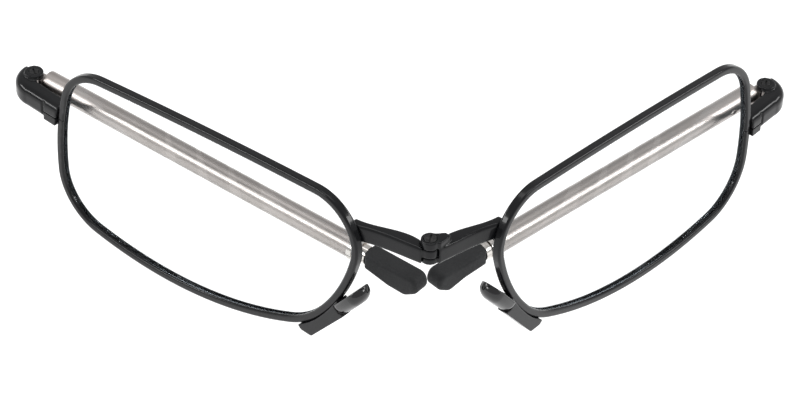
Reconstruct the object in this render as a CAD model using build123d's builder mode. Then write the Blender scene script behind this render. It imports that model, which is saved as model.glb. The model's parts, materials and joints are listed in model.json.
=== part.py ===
from build123d import *
import math
import os

# Folding reading glasses, standing half folded: each half of the front is swept back
# from straight, and the telescopic temples lie behind the lenses.
# +Z is up when worn, the front faces -Y, and the wearer's left side is +X.
# The origin is on the ground under the middle of the rest pose.
#
# Every half is drawn in its own directions: u runs outward along the lens plane from
# the bridge hinge, d runs square to it towards the wearer, and z is height.

# Driving dimensions, in millimetres and degrees.
SIDES = ("left", "right")
SWEEP = 45.8  # each half of the front is swept back by this much at rest
HINGE_Y = -22.59  # the bridge hinge's axis, from the middle of the rest pose
HINGE_TOP = 27.22  # top of the bridge hinge

LENS_D = -4.0  # the lens plane stands this far in front of the bridge hinge's axis
WIRE_WIDTH = 1.0  # rim wire, across the lens plane
WIRE_DEPTH = 1.15
GROOVE_DEPTH = 0.3
GROOVE_WIDTH = 0.56

# Rim opening: a lens shape with four corners (u, z), four bowed sides and four radii.
CORNER_TOP_IN = (7.32, 28.9)
CORNER_TOP_OUT = (53.7, 23.74)
CORNER_LOW_OUT = (55.8, 2.23)
CORNER_LOW_IN = (15.74, 8.49)
TOP_BOW = 0.37
OUTER_BOW = 1.53
LOWER_BOW = 3.72
INNER_BOW = 2.33
CORNER_RADII = (5.29, 7.24, 6.3, 13.87)

LENS_THICK = 1.1
LENS_FRONT_R = 600.0

# The two temples stand at different heights, so that they nest when the front is shut.
TEMPLE_Z = {"left": 12.4, "right": 16.0}  # height of the temple tubes' axis
TEMPLE_REST = {"left": 6.7, "right": 3.9}  # angle off the lens plane at rest
EXTRA_REACH = {"left": 0.0, "right": 3.9}  # how much longer the right temple is than the left one
HINGE_U = 63.8  # temple hinge's axis
HINGE_D = -2.05
TUBE_BACK = 1.2  # the tube's axis passes this far behind the hinge's axis

END_TOP = 1.6  # endpiece, above and below the tube's axis
END_LOW = -1.7
EAR = 0.6
EAR_R = 1.2
WALL_TOP = 1.2  # the arm and its wall stop below the top of the ears
ARM_START = 56.5
ARM_FRONT = -4.95
ARM_BACK = -2.9
WALL_END = -1.5
LUG_SPLIT = -0.6  # the rim and its lock split here, above the tube's axis
LUG_END = 59.1
LOCK_U = 58.4  # rim lock screw
LOCK_D = -3.95

BAR_TOP = 26.45  # bridge bars
BAR_LOW = 24.15
KNUCKLE_R = 1.1
TONGUE_TOP = 26.15
TONGUE_LOW = 25.0
PLAY = 0.05  # gap between faces that turn on each other
SCREW_R = 0.5
TEMPLE_SCREW_R = 0.38

TUBE_R = 1.4  # outer temple tube
TUBE_BORE = 1.2
MID_R = 0.98  # middle tube
MID_BORE = 0.8
ROD_R = 0.58  # inner rod
TUBE_START = 1.4  # distances along a temple from its hinge, with the sections pushed in
TUBE_END = 46.2
MID_START = 9.0
MID_END = 47.0
ROD_START = 12.5
FERRULE = 47.8
TIP_START = 48.6
TIP_END = 56.6
PLUG_END = 8.2
PLUG_R = 1.18
PIN_AT = 5.9
PIN_R = 0.34
TIP_TOP = 1.1
TIP_LOW = -2.0
TIP_THICK = 2.5
TIP_BELLY = {"left": -1.4, "right": -1.9}  # the underside, halfway along the tip

BRACKET_FRONT = -4.95
BRACKET_BACK = -3.3
PAD_FOOT = (10.5, -3.6, 13.4)  # middle of the pad's flat back, at its two ends
PAD_HEAD = (6.8, -3.6, 18.1)
PAD_WIDTH = 3.2
PAD_DEEP = 1.7
PAD_ROUND = 0.8


def half_dir(u, d, z=0.0):
    """The direction (u, d, z) of the wearer's left half, in the part's own axes."""
    c = math.cos(math.radians(SWEEP))
    s = math.sin(math.radians(SWEEP))
    return Vector(u * c - d * s, u * s + d * c, z)


def half_point(u, d, z=0.0):
    """The point (u, d, z) of the wearer's left half."""
    return Vector(0, HINGE_Y, 0) + half_dir(u, d, z)


def plan_plane(z):
    """A level plane: x is u and y is d."""
    return Plane(origin=half_point(0, 0, z), x_dir=half_dir(1, 0), z_dir=(0, 0, 1))


def lens_plane(d=LENS_D):
    """A plane square to d: x is u, y is height, and it faces the front."""
    return Plane(origin=half_point(0, d), x_dir=half_dir(1, 0), z_dir=half_dir(0, -1))


def temple_dir(side):
    """The way a temple points at rest, from its hinge to its tip, drawn as a left one."""
    a = math.radians(TEMPLE_REST[side])
    return half_dir(-math.cos(a), math.sin(a))


def tube_origin(side):
    """The point on the tube's axis that is nearest to the temple hinge."""
    a = math.radians(TEMPLE_REST[side])
    behind = half_dir(math.sin(a), math.cos(a)) * TUBE_BACK
    return half_point(HINGE_U, HINGE_D, TEMPLE_Z[side]) + behind


def temple_plane(side):
    """A level plane through the tube's axis: x runs from the hinge to the tip."""
    return Plane(origin=tube_origin(side), x_dir=temple_dir(side), z_dir=(0, 0, 1))


def temple_side_plane(side):
    """An upright plane through the tube's axis: x runs from the hinge to the tip, y up."""
    up = Vector(0, 0, 1)
    x = temple_dir(side)
    return Plane(origin=tube_origin(side), x_dir=x, z_dir=x.cross(up))


def section_plane(side):
    """A plane square to the tube, beside the temple hinge."""
    return Plane(origin=tube_origin(side), x_dir=(0, 0, 1), z_dir=temple_dir(side))


def save(part, name):
    part.label = name
    export_step(part, f"parts/{name}.step")


def save_side(side, drawn, name):
    """Writes a piece that was drawn for the left half, mirrored if it is a right one."""
    if side == "left":
        save(drawn, f"left_{name}")
        return
    with BuildPart() as right:
        mirror(drawn, about=Plane.YZ)
    save(right.part, f"right_{name}")


def save_pair(drawn, name):
    """Writes a piece of the left half and its mirror image for the right half."""
    for side in SIDES:
        save_side(side, drawn, name)


def lens_shape(grow):
    """The rim's opening, grown outward by grow."""
    with BuildSketch() as shape:
        with BuildLine():
            SagittaArc(CORNER_TOP_IN, CORNER_TOP_OUT, TOP_BOW)
            SagittaArc(CORNER_TOP_OUT, CORNER_LOW_OUT, OUTER_BOW)
            SagittaArc(CORNER_LOW_OUT, CORNER_LOW_IN, LOWER_BOW)
            SagittaArc(CORNER_LOW_IN, CORNER_TOP_IN, INNER_BOW)
        make_face()
        if grow > 0:
            offset(amount=grow, kind=Kind.INTERSECTION)
        if grow < 0:
            offset(amount=grow)
        corners = (CORNER_TOP_IN, CORNER_TOP_OUT, CORNER_LOW_OUT, CORNER_LOW_IN)
        for corner, radius in zip(corners, CORNER_RADII):
            nearest = shape.vertices().sort_by_distance((corner[0], corner[1], 0))[0]
            fillet(nearest, radius + grow)
    return shape.sketch


def lens_slab(grow, half_thick, mode=Mode.ADD):
    """The grown lens shape as a slab about the lens plane, in the open builder."""
    with BuildSketch(lens_plane()) as outline:
        add(lens_shape(grow))
    extrude(to_extrude=outline.sketch, amount=half_thick, both=True, mode=mode)


def make_rim(side):
    """A grooved wire loop, split on its outer side where the lock closes it."""
    with BuildPart() as rim:
        lens_slab(WIRE_WIDTH, WIRE_DEPTH / 2)
        lens_slab(0, WIRE_DEPTH / 2, Mode.SUBTRACT)
        across = Axis(half_point(0, 0), half_dir(0, 1))
        fillet(rim.edges().filter_by(across, reverse=True), 0.28)
        lens_slab(GROOVE_DEPTH, GROOVE_WIDTH / 2, Mode.SUBTRACT)
        with BuildSketch(plan_plane(TEMPLE_Z[side] + LUG_SPLIT - PLAY)):
            with Locations((56.9, LENS_D)):
                Rectangle(3.6, 2 * WIRE_DEPTH)
        extrude(amount=2 * PLAY, mode=Mode.SUBTRACT)
    save_side(side, rim.part, "rim")


def make_lens():
    """A thin lens with a rounded front, and a ridge around it that sits in the groove."""
    with BuildPart() as lens:
        lens_slab(-0.07, LENS_THICK / 2)
        centre = half_point(32.2, LENS_D - LENS_THICK / 2 + LENS_FRONT_R, 15.0)
        with Locations(centre):
            Sphere(LENS_FRONT_R, mode=Mode.INTERSECT)
        lens_slab(GROOVE_DEPTH - 0.04, GROOVE_WIDTH / 2 - 0.04)
    save_pair(lens.part, "lens")


def clear_rim(half_thick=6.0):
    """Takes the rim's outer shape away from the open builder, so a piece seats on it."""
    lens_slab(WIRE_WIDTH, half_thick, Mode.SUBTRACT)


def is_outer_edge(edge):
    """True for the endpiece's level edges on its front and outer faces."""
    local = plan_plane(0).to_local_coords(edge.center())
    return local.Y < ARM_BACK - 0.6 and local.X > LUG_END - 1.0


def make_endpiece(side):
    """The arm that carries the temple hinge: a wall that wraps the hinge between two ears."""
    axis_z = TEMPLE_Z[side]
    low = axis_z + END_LOW
    tall = END_TOP - END_LOW
    with BuildPart() as endpiece:
        with BuildSketch(plan_plane(low)):
            with BuildLine():
                Polyline((ARM_START, ARM_BACK), (ARM_START, ARM_FRONT), (62.2, ARM_FRONT))
                ThreePointArc((62.2, ARM_FRONT), (64.9, -4.2), (66.1, -2.3))
                Polyline((66.1, -2.3), (66.0, WALL_END), (65.2, WALL_END), (62.2, ARM_BACK))
                Line((62.2, ARM_BACK), (ARM_START, ARM_BACK))
            make_face()
        extrude(amount=WALL_TOP - END_LOW)
        clear_rim()
        level = endpiece.edges().filter_by(Plane.XY)
        fillet([edge for edge in level if is_outer_edge(edge)], 0.9)
        with BuildSketch(plan_plane(low)):
            with Locations((HINGE_U, HINGE_D)):
                Circle(EAR_R)
        extrude(amount=tall)
        # Room between the ears for the temple's knuckle and neck.
        with BuildSketch(plan_plane(low + EAR)):
            with Locations((HINGE_U, HINGE_D)):
                Circle(EAR_R + 0.05)
            with Locations((HINGE_U - 3.0, ARM_BACK + 4.0)):
                Rectangle(6.0, 8.0)
            with Locations((HINGE_U, HINGE_D + 2.7)):
                Rectangle(2 * EAR_R, 4.0)
        extrude(amount=tall - 2 * EAR, mode=Mode.SUBTRACT)
        # Hinge screw hole, counterbored at the top for its head.
        with BuildSketch(plan_plane(low)):
            with Locations((HINGE_U, HINGE_D)):
                Circle(TEMPLE_SCREW_R)
        extrude(amount=tall, mode=Mode.SUBTRACT)
        with BuildSketch(plan_plane(low + tall - 0.32)):
            with Locations((HINGE_U, HINGE_D)):
                Circle(0.6)
        extrude(amount=0.32, mode=Mode.SUBTRACT)
        # Groove between the lock and the arm, and the seat of the lower lug.
        with BuildSketch(plan_plane(low)):
            with Locations((LUG_END + 0.15, ARM_FRONT)):
                Rectangle(0.3, 0.5)
        extrude(amount=tall, mode=Mode.SUBTRACT)
        with BuildSketch(plan_plane(low)):
            with Locations((LUG_END - 1.45, LOCK_D)):
                Rectangle(3.0, 4.0)
        extrude(amount=LUG_SPLIT - END_LOW + PLAY, mode=Mode.SUBTRACT)
        with BuildSketch(plan_plane(low)):
            with Locations((LOCK_U, LOCK_D)):
                Circle(0.4)
        extrude(amount=tall - 1.0, mode=Mode.SUBTRACT)
    save_side(side, endpiece.part, "endpiece")


def make_lock(side):
    """The lower lug of the rim lock, and the small screw that closes it from below."""
    low = TEMPLE_Z[side] + END_LOW
    with BuildPart() as lug:
        with BuildSketch(plan_plane(low)):
            with Locations(((ARM_START + LUG_END) / 2, (ARM_FRONT + ARM_BACK) / 2)):
                Rectangle(LUG_END - ARM_START, ARM_BACK - ARM_FRONT)
        extrude(amount=LUG_SPLIT - END_LOW - PLAY)
        clear_rim()
        with BuildSketch(plan_plane(low)):
            with Locations((LOCK_U, LOCK_D)):
                Circle(0.42)
        extrude(amount=2.0, mode=Mode.SUBTRACT)
    save_side(side, lug.part, "rim_lock_lug")
    with BuildPart() as screw:
        with BuildSketch(plan_plane(low - 0.3)):
            with Locations((LOCK_U, LOCK_D)):
                Circle(0.62)
        extrude(amount=0.3)
        with BuildSketch(plan_plane(low)):
            with Locations((LOCK_U, LOCK_D)):
                Circle(0.38)
        extrude(amount=END_TOP - END_LOW - 1.1)
        with BuildSketch(plan_plane(low - 0.3)):
            with Locations((LOCK_U, LOCK_D)):
                Rectangle(1.6, 0.2)
        extrude(amount=0.15, mode=Mode.SUBTRACT)
    save_side(side, screw.part, "rim_lock_screw")


def bar_outline():
    """Plan of a bridge bar: it leaves the back of the rim and curves to the hinge."""
    with BuildSketch() as outline:
        with BuildLine():
            Line((0.1, -0.35), (0.1, -1.45))
            Spline((0.1, -1.45), (3.4, -2.15), (6.4, -2.95), (9.0, -4.2))
            Line((9.0, -4.2), (9.0, -2.4))
            Spline((9.0, -2.4), (5.5, -1.2), (3.5, -0.4), (0.1, -0.35))
        make_face()
    return outline.sketch


def knuckle(z, tall, web):
    """A hinge knuckle on the bridge axis, with a web to the bar as far out as web."""
    with BuildSketch(plan_plane(z)) as plan:
        Circle(KNUCKLE_R)
        with BuildLine():
            Polyline((0, KNUCKLE_R), (web, -0.55), (web, -1.4), (0.1, -1.4), (0, KNUCKLE_R))
        make_face()
    extrude(to_extrude=plan.sketch, amount=tall)


def bridge_bar():
    """A bridge bar with soft long edges, seated on the back of the rim."""
    with BuildPart() as bar:
        with BuildSketch(plan_plane(BAR_LOW)):
            add(bar_outline())
        extrude(amount=BAR_TOP - BAR_LOW)
        fillet(bar.edges().filter_by(Plane.XY).filter_by(GeomType.BSPLINE), 0.35)
        clear_rim(WIRE_DEPTH / 2)
    return bar.part


def make_bridge():
    """Two bars that meet at the middle hinge: the left is the fork, the right the tongue."""
    bar = bridge_bar()
    with BuildPart() as fork:
        add(bar)
        with BuildSketch(plan_plane(TONGUE_LOW - PLAY)):
            Circle(KNUCKLE_R + 0.1)
        extrude(amount=TONGUE_TOP - TONGUE_LOW + 2 * PLAY, mode=Mode.SUBTRACT)
        knuckle(TONGUE_TOP + PLAY, HINGE_TOP - TONGUE_TOP - PLAY, 2.0)
        knuckle(BAR_LOW, TONGUE_LOW - PLAY - BAR_LOW, 1.6)
        with BuildSketch(plan_plane(BAR_LOW)):
            Circle(SCREW_R)
        extrude(amount=4.0, mode=Mode.SUBTRACT)
        with BuildSketch(plan_plane(HINGE_TOP - 0.4)):
            Circle(0.76)
        extrude(amount=0.4, mode=Mode.SUBTRACT)
    save(fork.part, "left_bridge_fork")
    with BuildPart() as tongue:
        add(bar)
        with BuildSketch(plan_plane(TONGUE_TOP), plan_plane(TONGUE_LOW - 2)):
            Circle(KNUCKLE_R + 0.1)
        extrude(amount=2, mode=Mode.SUBTRACT)
        knuckle(TONGUE_LOW, TONGUE_TOP - TONGUE_LOW, 1.6)
        with BuildSketch(plan_plane(BAR_LOW)):
            Circle(SCREW_R + PLAY)
        extrude(amount=4.0, mode=Mode.SUBTRACT)
    save_side("right", tongue.part, "bridge_tongue")


def slotted_screw(place, low, top, shank_r, head_r, head_tall):
    """A small screw with a slotted head on top, standing on the left half at (u, d)."""
    with BuildPart() as screw:
        with BuildSketch(plan_plane(low)):
            with Locations(place):
                Circle(shank_r)
        extrude(amount=top - low)
        with BuildSketch(plan_plane(top - head_tall)):
            with Locations(place):
                Circle(head_r)
        extrude(amount=head_tall)
        with BuildSketch(plan_plane(top - 0.2)):
            with Locations(place):
                Rectangle(3 * head_r, 0.22, rotation=30)
        extrude(amount=0.2, mode=Mode.SUBTRACT)
    return screw.part


def make_pad():
    """A small domed nose pad on a flat bracket that runs under the rim's lower corner."""
    foot = half_point(*PAD_FOOT)
    head = half_point(*PAD_HEAD)
    long_way = (head - foot).normalized()
    to_nose = long_way.cross(half_dir(0, 1))
    with BuildPart() as pad:
        with BuildSketch(Plane((foot + head) / 2, x_dir=long_way, z_dir=to_nose)):
            SlotOverall((head - foot).length, PAD_WIDTH)
        extrude(amount=PAD_DEEP)
        fillet(pad.faces().sort_by(Axis(foot, to_nose))[-1].edges(), PAD_ROUND)
    with BuildPart() as bracket:
        with BuildSketch(lens_plane(BRACKET_FRONT)) as face:
            with BuildLine():
                Polyline((17.5, 9.5), (15.2, 7.1), (13.5, 7.1), (8.6, 13.1), (9.5, 14.9))
                Polyline((9.5, 14.9), (12.0, 14.9), (17.5, 9.5))
            make_face()
            fillet(face.vertices().group_by(Axis.Y)[0], 0.6)
        extrude(amount=BRACKET_FRONT - BRACKET_BACK)
        clear_rim()
        add(pad.part, mode=Mode.SUBTRACT)
    save_pair(bracket.part, "pad_bracket")
    save_pair(pad.part, "nose_pad")


def turned(side, name, shift, *steps):
    """Writes a piece turned about the tube's axis, from steps (start, end, bore, radius)."""
    with BuildPart() as piece:
        with BuildSketch(temple_plane(side)):
            for start, end, bore, radius in steps:
                with Locations((shift + (start + end) / 2, (bore + radius) / 2)):
                    Rectangle(end - start, radius - bore)
        revolve(axis=Axis(tube_origin(side), temple_dir(side)))
    save_side(side, piece.part, name)


def make_telescope(side):
    """Three sections that slide in each other, with a bush inside and a collar outside each."""
    out = EXTRA_REACH[side]
    turned(
        side,
        "outer_collar",
        out,
        (TUBE_END - 1.3, TUBE_END, MID_R + PLAY, TUBE_BORE - 0.01),
        (TUBE_END, TUBE_END + 0.7, MID_R + PLAY, TUBE_R + 0.1),
    )
    turned(side, "middle_tube", out, (MID_START + 0.5, MID_END, MID_BORE, MID_R))
    bush = (MID_START, MID_START + 3.0, MID_R + 0.01, TUBE_BORE - 0.03)
    turned(side, "middle_bush", out, bush)
    turned(
        side,
        "middle_collar",
        out,
        (MID_END - 0.8, MID_END, ROD_R + PLAY, MID_BORE - 0.01),
        (MID_END, MID_END + 0.6, ROD_R + PLAY, 1.25),
    )
    turned(side, "inner_rod", out, (ROD_START, TIP_START + 5.9, 0, ROD_R))
    turned(side, "rod_bush", out, (ROD_START, ROD_START + 2.0, ROD_R + 0.01, MID_BORE - 0.03))
    turned(side, "ferrule", out, (FERRULE, TIP_START, ROD_R + 0.01, 1.15))


def make_hinge_block(side):
    """The temple's knuckle, with a plug that fills the tube's end, and its cross pin."""
    tube_end = TUBE_END + EXTRA_REACH[side]
    tall = END_TOP - END_LOW - 2 * EAR - 2 * PLAY
    drop = END_LOW + EAR + PLAY
    tube_axis = Axis(tube_origin(side), temple_dir(side))
    across = temple_side_plane(side)
    with BuildPart() as block:
        with BuildSketch(temple_plane(side).offset(drop)):
            with Locations((0, TUBE_BACK)):
                Circle(KNUCKLE_R)
            with Locations((TUBE_START / 2, TUBE_BACK - 0.37)):
                Rectangle(TUBE_START, 1.46)
        extrude(amount=tall)
        with BuildSketch(temple_plane(side)):
            with Locations(((TUBE_START + PLUG_END) / 2, PLUG_R / 2)):
                Rectangle(PLUG_END - TUBE_START, PLUG_R)
        revolve(axis=tube_axis)
        with BuildSketch(temple_plane(side)):
            with Locations((0, TUBE_BACK)):
                Circle(TEMPLE_SCREW_R + PLAY)
        extrude(amount=2 * END_TOP, both=True, mode=Mode.SUBTRACT)
        with BuildSketch(across):
            with Locations((PIN_AT, 0)):
                Circle(PIN_R + 0.01)
        extrude(amount=3, both=True, mode=Mode.SUBTRACT)
    save_side(side, block.part, "temple_knuckle")
    with BuildPart() as tube:
        with BuildSketch(temple_plane(side)):
            with Locations(((TUBE_START + tube_end) / 2, (TUBE_BORE + TUBE_R) / 2)):
                Rectangle(tube_end - TUBE_START, TUBE_R - TUBE_BORE)
        revolve(axis=tube_axis)
        with BuildSketch(across):
            with Locations((PIN_AT, 0)):
                Ellipse(PIN_R + 0.2, PIN_R + 0.05)
        extrude(amount=3, both=True, mode=Mode.SUBTRACT)
    save_side(side, tube.part, "outer_tube")
    with BuildPart() as pin:
        with BuildSketch(across):
            with Locations((PIN_AT, 0)):
                Circle(PIN_R)
        extrude(amount=TUBE_BORE, both=True)
    save_side(side, pin.part, "tube_pin")


def make_tip(side):
    """A rubber paddle on the rod's end: it deepens downward and rounds off at the end."""
    start = TIP_START + EXTRA_REACH[side]
    end = TIP_END + EXTRA_REACH[side]
    upright = temple_side_plane(side)
    with BuildPart() as tip:
        with BuildSketch(upright) as profile:
            with BuildLine():
                Polyline(
                    (start, -1.15),
                    (start, 1.15),
                    (end - 0.4, TIP_TOP),
                    (end, -0.8),
                    (end - 1.9, TIP_LOW),
                    (end - 4.4, TIP_BELLY[side]),
                    (start, -1.15),
                )
            make_face()
            far = profile.vertices().sort_by(Axis.X)
            fillet([v for v in far if v.X > start + 3.0], 1.1)
        extrude(amount=TIP_THICK / 2, both=True)
        flats = tip.faces().filter_by(Plane(upright.origin, z_dir=upright.z_dir))
        fillet(flats.edges(), 0.5)
        with BuildSketch(section_plane(side)):
            Circle(ROD_R + 0.01)
        extrude(amount=start + 6.0, mode=Mode.SUBTRACT)
    save_side(side, tip.part, "rubber_tip")


def make_screws():
    """The slotted screws that pin the three hinges."""
    bridge = slotted_screw((0, 0), BAR_LOW, HINGE_TOP, SCREW_R - 0.02, 0.72, 0.38)
    save(bridge, "bridge_screw")
    for side in SIDES:
        low = TEMPLE_Z[side] + END_LOW
        top = TEMPLE_Z[side] + END_TOP
        place = (HINGE_U, HINGE_D)
        screw = slotted_screw(place, low, top, TEMPLE_SCREW_R - 0.02, 0.57, 0.3)
        save_side(side, screw, "temple_screw")


os.makedirs("parts", exist_ok=True)
make_lens()
make_bridge()
make_screws()
make_pad()
for each in SIDES:
    make_rim(each)
    make_endpiece(each)
    make_lock(each)
    make_hinge_block(each)
    make_telescope(each)
    make_tip(each)
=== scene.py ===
import json
import math

import bmesh
import bpy
from mathutils import Matrix, Vector


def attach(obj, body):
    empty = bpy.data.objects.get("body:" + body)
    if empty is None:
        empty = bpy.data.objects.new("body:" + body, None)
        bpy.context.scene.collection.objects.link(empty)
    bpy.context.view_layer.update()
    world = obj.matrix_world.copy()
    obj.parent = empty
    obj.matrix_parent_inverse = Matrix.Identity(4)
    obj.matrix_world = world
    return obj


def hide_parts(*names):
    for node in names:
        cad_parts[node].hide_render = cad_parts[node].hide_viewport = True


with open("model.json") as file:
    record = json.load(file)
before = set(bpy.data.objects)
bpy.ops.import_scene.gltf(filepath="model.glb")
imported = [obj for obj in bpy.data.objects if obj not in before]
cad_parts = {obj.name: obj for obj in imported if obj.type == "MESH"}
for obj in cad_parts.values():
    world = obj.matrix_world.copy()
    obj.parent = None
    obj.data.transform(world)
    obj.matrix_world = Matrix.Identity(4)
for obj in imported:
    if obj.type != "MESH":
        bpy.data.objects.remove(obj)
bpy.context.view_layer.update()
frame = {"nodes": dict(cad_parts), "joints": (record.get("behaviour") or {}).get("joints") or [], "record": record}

MM = 0.001
PAD_LEVELS = 14
PAD_SPOKES = 48
PAD_LIP = 0.15 * MM
SAME_POINT = 0.001 * MM
LENS_CREASE = math.radians(30)
PAD_CREASE = math.radians(50)
FLOOR_HALF = 3.0
NODES = frame["nodes"]
JOINTS = {joint["name"]: joint for joint in frame["joints"]}
HINGE = Vector(JOINTS["bridge_fold"]["pos_m"])
BODIES = frame["record"]["behaviour"]["bodies"]
BODY_OF = {node: body for body, nodes in BODIES.items() for node in nodes}


# ---------------------------------------------------------------- node helpers


class Shader:
    """A material's node tree, with short calls for the nodes that it uses."""

    def __init__(self, name):
        self.material = bpy.data.materials.new(name)
        self.material.use_nodes = True
        self.tree = self.material.node_tree
        self.bsdf = self.tree.nodes["Principled BSDF"]
        self.where = self.tree.nodes.new("ShaderNodeTexCoord").outputs["Object"]

    def add(self, kind, **values):
        node = self.tree.nodes.new(kind)
        for key, value in values.items():
            setattr(node, key, value)
        return node

    def link(self, source, target):
        self.tree.links.new(source, target)

    def mapped(self, scale=(1, 1, 1), turn=0.0):
        """Object coordinates, turned about Z and then scaled."""
        turned = self.add("ShaderNodeMapping", vector_type="POINT")
        turned.inputs["Rotation"].default_value = (0, 0, turn)
        self.link(self.where, turned.inputs["Vector"])
        scaled = self.add("ShaderNodeMapping", vector_type="POINT")
        scaled.inputs["Scale"].default_value = scale
        self.link(turned.outputs["Vector"], scaled.inputs["Vector"])
        return scaled.outputs["Vector"]

    def noise(self, scale, detail=3.0, vector=None, roughness=0.55):
        node = self.add("ShaderNodeTexNoise")
        node.inputs["Scale"].default_value = scale
        node.inputs["Detail"].default_value = detail
        node.inputs["Roughness"].default_value = roughness
        self.link(vector or self.where, node.inputs["Vector"])
        return node.outputs["Fac"]

    def spread(self, value, low, high, start=0.3, end=0.7):
        """Maps start..end of value to low..high."""
        node = self.add("ShaderNodeMapRange")
        node.inputs["From Min"].default_value = start
        node.inputs["From Max"].default_value = end
        node.inputs["To Min"].default_value = low
        node.inputs["To Max"].default_value = high
        self.link(value, node.inputs["Value"])
        return node.outputs["Result"]

    def blend(self, value, first, second):
        """A colour between first and second."""
        node = self.add("ShaderNodeMix", data_type="RGBA")
        node.inputs["A"].default_value = (*first, 1)
        node.inputs["B"].default_value = (*second, 1)
        self.link(value, node.inputs["Factor"])
        return node.outputs["Result"]

    def bump(self, height, distance, strength=1.0, below=None):
        node = self.add("ShaderNodeBump")
        node.inputs["Distance"].default_value = distance
        node.inputs["Strength"].default_value = strength
        self.link(height, node.inputs["Height"])
        if below:
            self.link(below, node.inputs["Normal"])
        return node.outputs["Normal"]

    def rounded(self, radius):
        """Shades every edge as if it were rounded off at this radius."""
        node = self.add("ShaderNodeBevel", samples=8)
        node.inputs["Radius"].default_value = radius
        return node.outputs["Normal"]

    def drive(self, **sockets):
        """Links values to the Principled node's sockets, or sets them where they're numbers."""
        for name, value in sockets.items():
            socket = self.bsdf.inputs[name.replace("_", " ")]
            if isinstance(value, bpy.types.NodeSocket):
                self.link(value, socket)
            else:
                socket.default_value = value


# ---------------------------------------------------------------- materials


def black_coat():
    """Baked black enamel over rounded edges: semi-gloss, with faint orange peel and specks."""
    m = Shader("black_coat")
    peel = m.noise(1400, 2)
    cloud = m.noise(160, 3)
    speck = m.noise(9000, 1)
    m.drive(
        Base_Color=m.blend(m.spread(cloud, 0, 1), (0.006, 0.0062, 0.007), (0.009, 0.0093, 0.0105)),
        Roughness=m.spread(cloud, 0.16, 0.24),
        Specular_IOR_Level=0.12,
        Coat_Weight=0.22,
        Coat_Roughness=0.07,
        Normal=m.bump(speck, 0.000002, 0.3, m.bump(peel, 0.000006, 0.3, m.rounded(0.25 * MM))),
    )
    return m.material


def black_screw():
    """Blackened screw steel, a little worn to bare metal where a driver has turned it."""
    m = Shader("black_screw")
    wear = m.noise(2600, 4)
    m.drive(
        Base_Color=m.blend(m.spread(wear, 0, 1, 0.5, 0.75), (0.012, 0.012, 0.013), (0.05, 0.048, 0.046)),
        Roughness=m.spread(wear, 0.3, 0.5),
        Metallic=0.4,
        Normal=m.bump(wear, 0.00001, 0.4, m.rounded(0.12 * MM)),
    )
    return m.material


def black_pad():
    """Smooth moulded pad plastic."""
    m = Shader("black_pad")
    cloud = m.noise(300, 3)
    peel = m.noise(1500, 2)
    m.drive(
        Base_Color=m.blend(m.spread(cloud, 0, 1), (0.008, 0.008, 0.009), (0.012, 0.012, 0.013)),
        Roughness=m.spread(cloud, 0.1, 0.18),
        Normal=m.bump(peel, 0.000006, 0.3),
    )
    return m.material


def tube_steel(name, turn):
    """Warm satin stainless steel, brushed along the tube, with faint stains and hairline scratches."""
    m = Shader(name)
    grain = m.noise(1.0, 5, m.mapped((90, 9000, 9000), turn), 0.6)
    stain = m.noise(120, 3)
    m.drive(
        Base_Color=m.blend(m.spread(stain, 0, 1), (0.4, 0.366, 0.348), (0.46, 0.424, 0.404)),
        Metallic=1.0,
        Roughness=m.spread(grain, 0.26, 0.42),
        Normal=m.bump(grain, 0.00001, 0.25),
    )
    return m.material


def polished_steel():
    """Polished rings at the tube mouths."""
    m = Shader("polished_steel")
    cloud = m.noise(900, 3)
    m.drive(
        Base_Color=m.blend(m.spread(cloud, 0, 1), (0.6, 0.57, 0.54), (0.68, 0.65, 0.62)),
        Metallic=1.0,
        Roughness=m.spread(cloud, 0.12, 0.24),
        Normal=m.bump(cloud, 0.000006, 0.3),
    )
    return m.material


def brass_bush():
    """Machined brass of the bushes inside the tubes."""
    m = Shader("brass_bush")
    cloud = m.noise(900, 3)
    m.drive(
        Base_Color=m.blend(m.spread(cloud, 0, 1), (0.5, 0.35, 0.14), (0.6, 0.44, 0.2)),
        Metallic=1.0,
        Roughness=m.spread(cloud, 0.25, 0.4),
    )
    return m.material


def tip_rubber():
    """Soft matte rubber with a fine moulded texture."""
    m = Shader("tip_rubber")
    grit = m.noise(5200, 3)
    cloud = m.noise(260, 3)
    m.drive(
        Base_Color=m.blend(m.spread(cloud, 0, 1), (0.009, 0.0095, 0.0105), (0.015, 0.0155, 0.0168)),
        Roughness=m.spread(grit, 0.6, 0.75),
        Specular_IOR_Level=0.35,
        Normal=m.bump(grit, 0.00003, 0.4),
    )
    return m.material


def lens_glass():
    """A clear coated lens: it mirrors very little, more at a slant, and has a faint cool tint."""
    m = Shader("lens_glass")
    m.tree.nodes.remove(m.bsdf)
    clear = m.add("ShaderNodeBsdfTransparent")
    clear.inputs["Color"].default_value = (0.985, 0.99, 0.99, 1)
    mirror = m.add("ShaderNodeBsdfGlossy")
    mirror.inputs["Roughness"].default_value = 0.04
    mirror.inputs["Color"].default_value = (0.8, 0.9, 1.0, 1)
    slant = m.add("ShaderNodeLayerWeight")
    steep = m.add("ShaderNodeMath", operation="POWER")
    m.link(slant.outputs["Facing"], steep.inputs[0])
    steep.inputs[1].default_value = 4.0
    smear = m.add("ShaderNodeMath", operation="MULTIPLY_ADD")
    m.link(steep.outputs[0], smear.inputs[0])
    m.link(m.spread(m.noise(70, 2), 0.1, 0.16), smear.inputs[1])
    smear.inputs[2].default_value = 0.004
    mix = m.add("ShaderNodeMixShader")
    m.link(smear.outputs[0], mix.inputs["Fac"])
    m.link(clear.outputs[0], mix.inputs[1])
    m.link(mirror.outputs[0], mix.inputs[2])
    m.link(mix.outputs[0], m.tree.nodes["Material Output"].inputs["Surface"])
    return m.material


def dress(name, material):
    """Gives a CAD node its material."""
    mesh = NODES[name].data
    mesh.materials.clear()
    mesh.materials.append(material)


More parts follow.
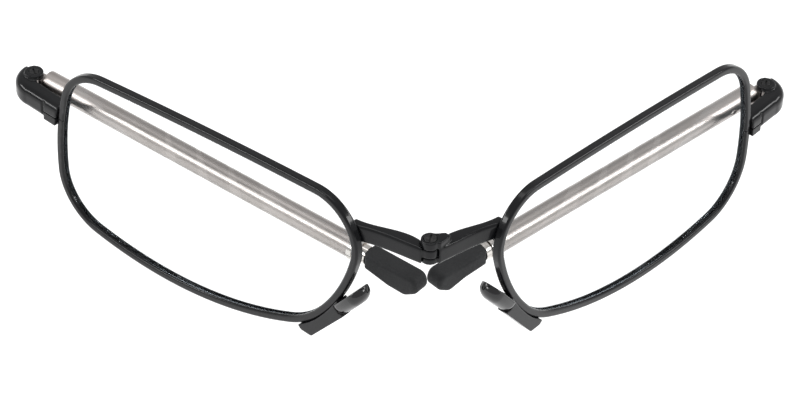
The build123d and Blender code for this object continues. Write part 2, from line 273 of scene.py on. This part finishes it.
def dress_all():
    """Dresses each node by its slot. The right tube's grain mirrors the left's, 3 degrees off its axis."""
    left = Vector(JOINTS["left_middle_slide"]["axis"])
    angle = math.atan2(left.y, left.x)
    shared = {
        "black_coat": black_coat(),
        "black_screw": black_screw(),
        "black_pad": black_pad(),
        "lens": lens_glass(),
        "polished_steel": polished_steel(),
        "brass_bush": brass_bush(),
        "tip_rubber": tip_rubber(),
    }
    steel = {
        "left": tube_steel("tube_steel_left", -angle),
        "right": tube_steel("tube_steel_right", angle),
    }
    for part in frame["record"]["subparts"]:
        name, slot = part["node"], part["material_slot"]
        dress(name, shared[slot] if slot in shared else steel[name.split("_")[0]])


# ---------------------------------------------------------------- softened and modelled pieces


def final_mesh(piece, name):
    """The piece's mesh with its modifiers applied."""
    graph = bpy.context.evaluated_depsgraph_get()
    mesh = bpy.data.meshes.new_from_object(piece.evaluated_get(graph))
    piece.modifiers.clear()
    piece.data = mesh
    mesh.name = name
    mesh.shade_smooth()


def stand_in(piece, node):
    """Shows a piece where a CAD node is, with that node's material, and moves it with the same body."""
    source = NODES[node]
    piece.data.materials.clear()
    piece.data.materials.append(source.data.materials[0])
    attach(piece, BODY_OF[node])
    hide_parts(node)


def soften(node, voxel, rounds):
    """A copy of a CAD piece whose edges are moulded round."""
    piece = bpy.data.objects.new(node + "_soft", NODES[node].data.copy())
    bpy.context.scene.collection.objects.link(piece)
    remesh = piece.modifiers.new("remesh", "REMESH")
    remesh.mode = "VOXEL"
    remesh.voxel_size = voxel
    smooth = piece.modifiers.new("smooth", "SMOOTH")
    smooth.factor = 0.5
    smooth.iterations = rounds
    final_mesh(piece, node + "_soft")
    stand_in(piece, node)


def piece_from(mesh, name):
    """A new object in the scene that holds a bmesh, which is freed."""
    data = bpy.data.meshes.new(name)
    mesh.to_mesh(data)
    mesh.free()
    piece = bpy.data.objects.new(name, data)
    bpy.context.scene.collection.objects.link(piece)
    return piece


def set_lens_back(node, gap):
    """A copy of a lens that stands a hair inside its groove, so that no two faces coincide."""
    mesh = bmesh.new()
    mesh.from_mesh(NODES[node].data)
    bmesh.ops.remove_doubles(mesh, verts=mesh.verts, dist=SAME_POINT)
    mesh.normal_update()
    for vertex in mesh.verts:
        vertex.co -= vertex.normal * gap
    piece = piece_from(mesh, node + "_clear")
    piece.data.shade_smooth()
    piece.data.set_sharp_from_angle(angle=LENS_CREASE)
    stand_in(piece, node)


def flat_back(mesh):
    """The outward normal of a mesh's largest flat face."""
    sums = {}
    for polygon in mesh.polygons:
        key = tuple(round(c, 2) for c in polygon.normal)
        sums[key] = sums.get(key, 0) + polygon.area
    return Vector(max(sums, key=sums.get)).normalized()


def reach(mesh, way):
    """How far a mesh goes along a direction: its lowest and its highest point."""
    along = [v.co.dot(way) for v in mesh.vertices]
    return min(along), max(along)


def longest_way(mesh, normal):
    """The direction square to normal along which a mesh is longest, to the nearest 2 degrees."""
    side = normal.orthogonal().normalized()
    up = normal.cross(side)
    turns = [math.radians(2 * step) for step in range(90)]
    ways = [math.cos(a) * side + math.sin(a) * up for a in turns]
    return max(ways, key=lambda way: reach(mesh, way)[1] - reach(mesh, way)[0])


def pad_rings(mesh, source):
    """Rings of points that fill the CAD pad's size, from its flat back to the top of its dome."""
    back = flat_back(source)
    along = longest_way(source, back)
    across = back.cross(along)
    (near, far), (left, right), (front, rear) = (reach(source, way) for way in (along, across, back))
    half_long, half_wide, deep = (far - near) / 2, (right - left) / 2, rear - front
    base = along * (near + far) / 2 + across * (left + right) / 2 + back * rear
    rings = []
    for level in range(PAD_LEVELS):
        height = level / PAD_LEVELS
        shrink = (1 - height**3) ** 0.5
        straight = (half_long - half_wide) * (0.4 + 0.6 * shrink)
        ring = []
        for spoke in range(PAD_SPOKES):
            angle = 2 * math.pi * (spoke + 0.5) / PAD_SPOKES
            x = math.copysign(straight, math.cos(angle)) + math.cos(angle) * half_wide * shrink
            y = math.sin(angle) * half_wide * shrink
            ring.append(mesh.verts.new(base + along * x + across * y - back * deep * height))
        rings.append(ring)
    return rings


def join_rings(mesh, rings):
    """Joins each ring to the next by a band of faces, and closes both ends."""
    for low, high in zip(rings, rings[1:]):
        for spoke in range(PAD_SPOKES):
            following = (spoke + 1) % PAD_SPOKES
            mesh.faces.new((low[spoke], low[following], high[following], high[spoke]))
    mesh.faces.new(rings[-1])
    mesh.faces.new(list(reversed(rings[0])))
    bmesh.ops.recalc_face_normals(mesh, faces=mesh.faces)


def make_pad(side):
    """A nose pad: a flat back with a rounded lip, and a domed glossy front."""
    node = side + "_nose_pad"
    mesh = bmesh.new()
    join_rings(mesh, pad_rings(mesh, NODES[node].data))
    piece = piece_from(mesh, node + "_dome")
    lip = piece.modifiers.new("lip", "BEVEL")
    lip.width = PAD_LIP
    lip.segments = 3
    lip.limit_method = "ANGLE"
    lip.angle_limit = PAD_CREASE
    final_mesh(piece, node + "_dome")
    stand_in(piece, node)


def make_pieces():
    """Makes every piece that stands in for a CAD node."""
    for node in ("left_bridge_fork", "right_bridge_tongue"):
        soften(node, 0.08 * MM, 14)
    for side in ("left", "right"):
        soften(side + "_rubber_tip", 0.12 * MM, 6)
        soften(side + "_endpiece", 0.1 * MM, 5)
        set_lens_back(side + "_lens", 0.015 * MM)
        make_pad(side)


# ---------------------------------------------------------------- studio


def glowing_white():
    """A white sweep that is lit so brightly that no shadow shows on it."""
    m = Shader("floor_white")
    m.drive(
        Base_Color=(0.3, 0.3, 0.3, 1),
        Roughness=0.8,
        Emission_Color=(1, 1, 1, 1),
        Emission_Strength=1.0,
    )
    return m.material


def make_floor():
    """A wide flat floor at the object's feet."""
    mesh = bpy.data.meshes.new("floor")
    h = FLOOR_HALF
    mesh.from_pydata([(-h, -h, 0), (h, -h, 0), (h, h, 0), (-h, h, 0)], [], [(0, 1, 2, 3)])
    floor = bpy.data.objects.new("floor", mesh)
    bpy.context.scene.collection.objects.link(floor)
    floor.data.materials.append(glowing_white())


def soft_light(name, place, wide, tall, radiance):
    """An area light that faces the middle of the object, as bright as radiance at each point."""
    data = bpy.data.lights.new(name, "AREA")
    data.shape = "RECTANGLE"
    data.size = wide
    data.size_y = tall
    data.energy = radiance * math.pi * wide * tall
    light = bpy.data.objects.new(name, data)
    light.location = place
    light.rotation_mode = "QUATERNION"
    light.rotation_quaternion = (HINGE - light.location).to_track_quat("-Z", "Y")
    bpy.context.scene.collection.objects.link(light)


def make_world(strength):
    """Even white light from all around."""
    world = bpy.data.worlds.new("studio")
    bpy.context.scene.world = world
    world.use_nodes = True
    world.node_tree.nodes["Background"].inputs["Color"].default_value = (1, 1, 1, 1)
    world.node_tree.nodes["Background"].inputs["Strength"].default_value = strength


def make_camera():
    """The camera looks down at the bridge from the front, a little from the wearer's right, and is tilted."""
    azimuth, elevation, roll = map(math.radians, (-4.693, 39.881, 2.028))
    distance = 350 * MM
    target = HINGE + Vector((-3.322, 2.959, 4.725)) * MM
    back = Vector(
        (
            math.sin(azimuth) * math.cos(elevation),
            -math.cos(azimuth) * math.cos(elevation),
            math.sin(elevation),
        )
    )
    level = Vector((math.cos(azimuth), math.sin(azimuth), 0))
    up = back.cross(level)
    right = math.cos(roll) * level + math.sin(roll) * up
    up = math.cos(roll) * up - math.sin(roll) * level
    data = bpy.data.cameras.new("camera")
    data.lens = 140.7
    data.clip_start = 0.01
    camera = bpy.data.objects.new("camera", data)
    turn = Matrix((right, up, back)).transposed()
    camera.matrix_world = Matrix.Translation(target + back * distance) @ turn.to_4x4()
    bpy.context.scene.collection.objects.link(camera)
    bpy.context.scene.camera = camera


def make_studio():
    """The floor, the even light, and a long light on each side that draws the tubes' highlights."""
    bpy.context.scene.view_settings.view_transform = "Standard"
    make_floor()
    make_world(0.58)
    soft_light("left_strip", (0.85, 0.0, 0.5), 0.8, 0.17, 11)
    soft_light("right_strip", (-0.85, 0.0, 0.5), 0.8, 0.17, 11)
    soft_light("top", (0.0, 0.25, 1.0), 0.7, 0.4, 2.5)


make_camera()
make_studio()
dress_all()
make_pieces()
